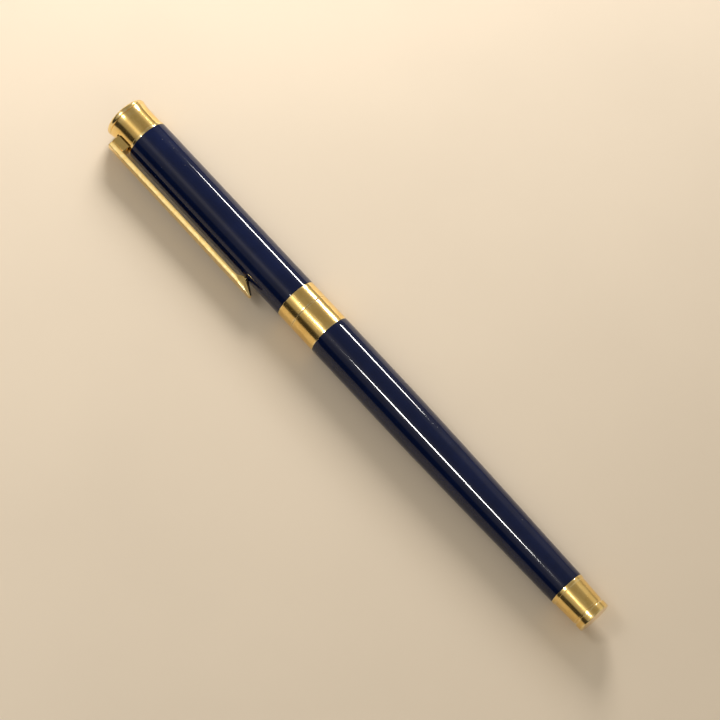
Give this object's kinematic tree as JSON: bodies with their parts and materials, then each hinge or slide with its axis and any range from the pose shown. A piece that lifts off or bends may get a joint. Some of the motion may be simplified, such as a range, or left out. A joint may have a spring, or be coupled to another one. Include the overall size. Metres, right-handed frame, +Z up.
{
  "type": "rollerball pen",
  "caption": "Slim capped rollerball pen with a lacquered barrel and cap, gold bands and crown, a sprung side clip, a screw-off barrel and a replaceable refill.",
  "frame": {"origin": "centre of the flat face at the tail end, on the axis of the pen", "axes": "+X runs along the pen from the tail to the crown of the cap, +Y points to the clip, and +Z is up when the pen lies with its clip level"},
  "size_m": [0.1375, 0.0116, 0.0094],
  "materials": {
    "navy_lacquer": "high-gloss navy lacquer",
    "gold_plate": "polished gold plate",
    "raw_brass": "turned brass",
    "spring_steel": "drawn steel",
    "point_steel": "polished nickel silver",
    "black_plastic": "satin black plastic",
    "refill_plastic": "moulded off-white plastic",
    "ink_fibre": "ink-soaked fibre"
  },
  "bodies": {
    "section": {"grip_shell": "black_plastic", "thread_collar": "gold_plate", "nozzle": "gold_plate"},
    "clutch": {"clutch_ring": "spring_steel"},
    "cap": {"cap_lip_band": "gold_plate", "cap_liner": "black_plastic", "cap_tube": "navy_lacquer", "head_plug": "raw_brass", "crown_sleeve": "gold_plate", "crown_cap": "gold_plate", "crown_inlay": "navy_lacquer", "clip_pivot_pin": "spring_steel", "clip_spring": "spring_steel"},
    "clip": {"clip_lug": "gold_plate", "clip_bar": "gold_plate"},
    "refill": {"refill_tube": "refill_plastic", "refill_holder": "black_plastic", "refill_point": "point_steel", "refill_ball": "point_steel", "refill_rear_plug": "black_plastic", "ink_reservoir": "ink_fibre", "ink_wick": "ink_fibre"},
    "cup": {"spring_cup": "refill_plastic"},
    "spring": {"refill_spring": "spring_steel"},
    "barrel": {"barrel_tube": "navy_lacquer", "barrel_ring": "gold_plate", "barrel_bush": "raw_brass", "barrel_end_plug": "raw_brass", "tail_finial": "gold_plate", "tail_button": "gold_plate"}
  },
  "joints": [
    {"name": "cap_pull", "type": "slide", "parent": "section", "child": "clutch", "axis": [1, 0, 0], "range_m": [0, 0.055]},
    {"name": "cap_turn", "type": "hinge", "parent": "clutch", "child": "cap", "pos_m": [0.0838, 0, 0], "axis": [1, 0, 0], "continuous": true},
    {"name": "clip_lift", "type": "hinge", "parent": "cap", "child": "clip", "pos_m": [0.1328, 0.0022, 0], "axis": [0, 0, -1], "range_deg": [0, 5.5], "stiffness_Nm_per_rad": 0.08, "springref_deg": -22.92, "deforming": ["clip_spring"]},
    {"name": "refill_draw", "type": "slide", "parent": "section", "child": "refill", "axis": [-1, 0, 0], "range_m": [0, 0.052]},
    {"name": "barrel_turn", "type": "hinge", "parent": "refill", "child": "cup", "pos_m": [0.0127, 0, 0], "axis": [-1, 0, 0], "range_deg": [0, 1800]},
    {"name": "barrel_draw", "type": "slide", "parent": "cup", "child": "spring", "axis": [-1, 0, 0], "range_m": [0, 0.075]},
    {"name": "barrel_travel", "type": "slide", "parent": "spring", "child": "barrel", "axis": [-1, 0, 0], "range_m": [0, 0.0081], "deforming": ["refill_spring"]}
  ],
  "couplings": [
    {"joint": "barrel_travel", "follows": "barrel_turn", "m_per_rad": 0.00025465}
  ]
}
